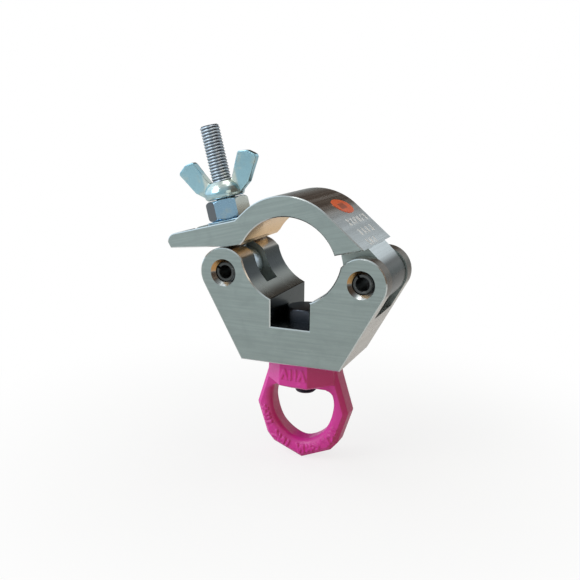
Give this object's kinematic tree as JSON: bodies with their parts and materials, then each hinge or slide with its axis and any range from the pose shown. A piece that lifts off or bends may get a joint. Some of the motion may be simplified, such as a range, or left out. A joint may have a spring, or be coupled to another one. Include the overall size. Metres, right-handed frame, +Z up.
{
  "type": "lifting beam clamp",
  "caption": "Hinged aluminium clamp that closes round a tube, locked by a swing bolt and wing nut, with a swivelling lifting eye below.",
  "frame": {"origin": "on the axis of the clamped tube, midway through the clamp's depth", "axes": "+Y along the tube away from the front face, +Z up towards the lever, +X towards the arm's hinge"},
  "size_m": [0.1169, 0.046, 0.1681],
  "materials": {
    "aluminium": "sawn and tumbled extrusion, satin",
    "arm_aluminium": "extruded back face polished, sawn sides",
    "zinc": "bright zinc plate",
    "pin_steel": "dark spring steel",
    "eye_bolt_steel": "black oxide",
    "bush_steel": "turned",
    "eye_paint": "pink powder coat on a forging",
    "label": "printed film"
  },
  "bodies": {
    "lower_body": {"clamp_body": "aluminium", "hinge_pin": "pin_steel", "bolt_pin": "pin_steel", "eye_bolt": "eye_bolt_steel", "eye_bush": "bush_steel", "thrust_washer": "bush_steel"},
    "arm": {"clamp_arm": "arm_aluminium", "rating_label": "label"},
    "bolt": {"swing_bolt": "zinc"},
    "collar": {"washer": "zinc", "hex_collar": "zinc"},
    "nut": {"wing_nut": "zinc"},
    "eye": {"lifting_eye": "eye_paint"}
  },
  "joints": [
    {"name": "arm_hinge", "type": "hinge", "parent": "lower_body", "child": "arm", "pos_m": [0.035, 0, -0.0125], "axis": [0, 1, 0], "range_deg": [0, 14.3]},
    {"name": "bolt_swing", "type": "hinge", "parent": "lower_body", "child": "bolt", "pos_m": [-0.035, -0.0022, -0.0125], "axis": [0, -1, 0], "range_deg": [0, 25.1]},
    {"name": "nut_travel", "type": "slide", "parent": "bolt", "child": "collar", "axis": [-0.2453, 0, 0.9694], "range_m": [0, 0.0311]},
    {"name": "nut_spin", "type": "hinge", "parent": "collar", "child": "nut", "pos_m": [-0.035, -0.0022, -0.0125], "axis": [-0.2453, 0, 0.9694], "range_deg": [0, 7440]},
    {"name": "eye_swivel", "type": "hinge", "parent": "lower_body", "child": "eye", "pos_m": [0, 0, -0.065], "axis": [0, 0, 1], "continuous": true}
  ],
  "couplings": [
    {"joint": "nut_travel", "follows": "nut_spin", "m_per_rad": 0.00023873},
    {"joint": "arm_hinge", "follows": "nut_spin", "ratio": 0.0019086},
    {"joint": "bolt_swing", "follows": "nut_spin", "ratio": 0.0033602}
  ]
}
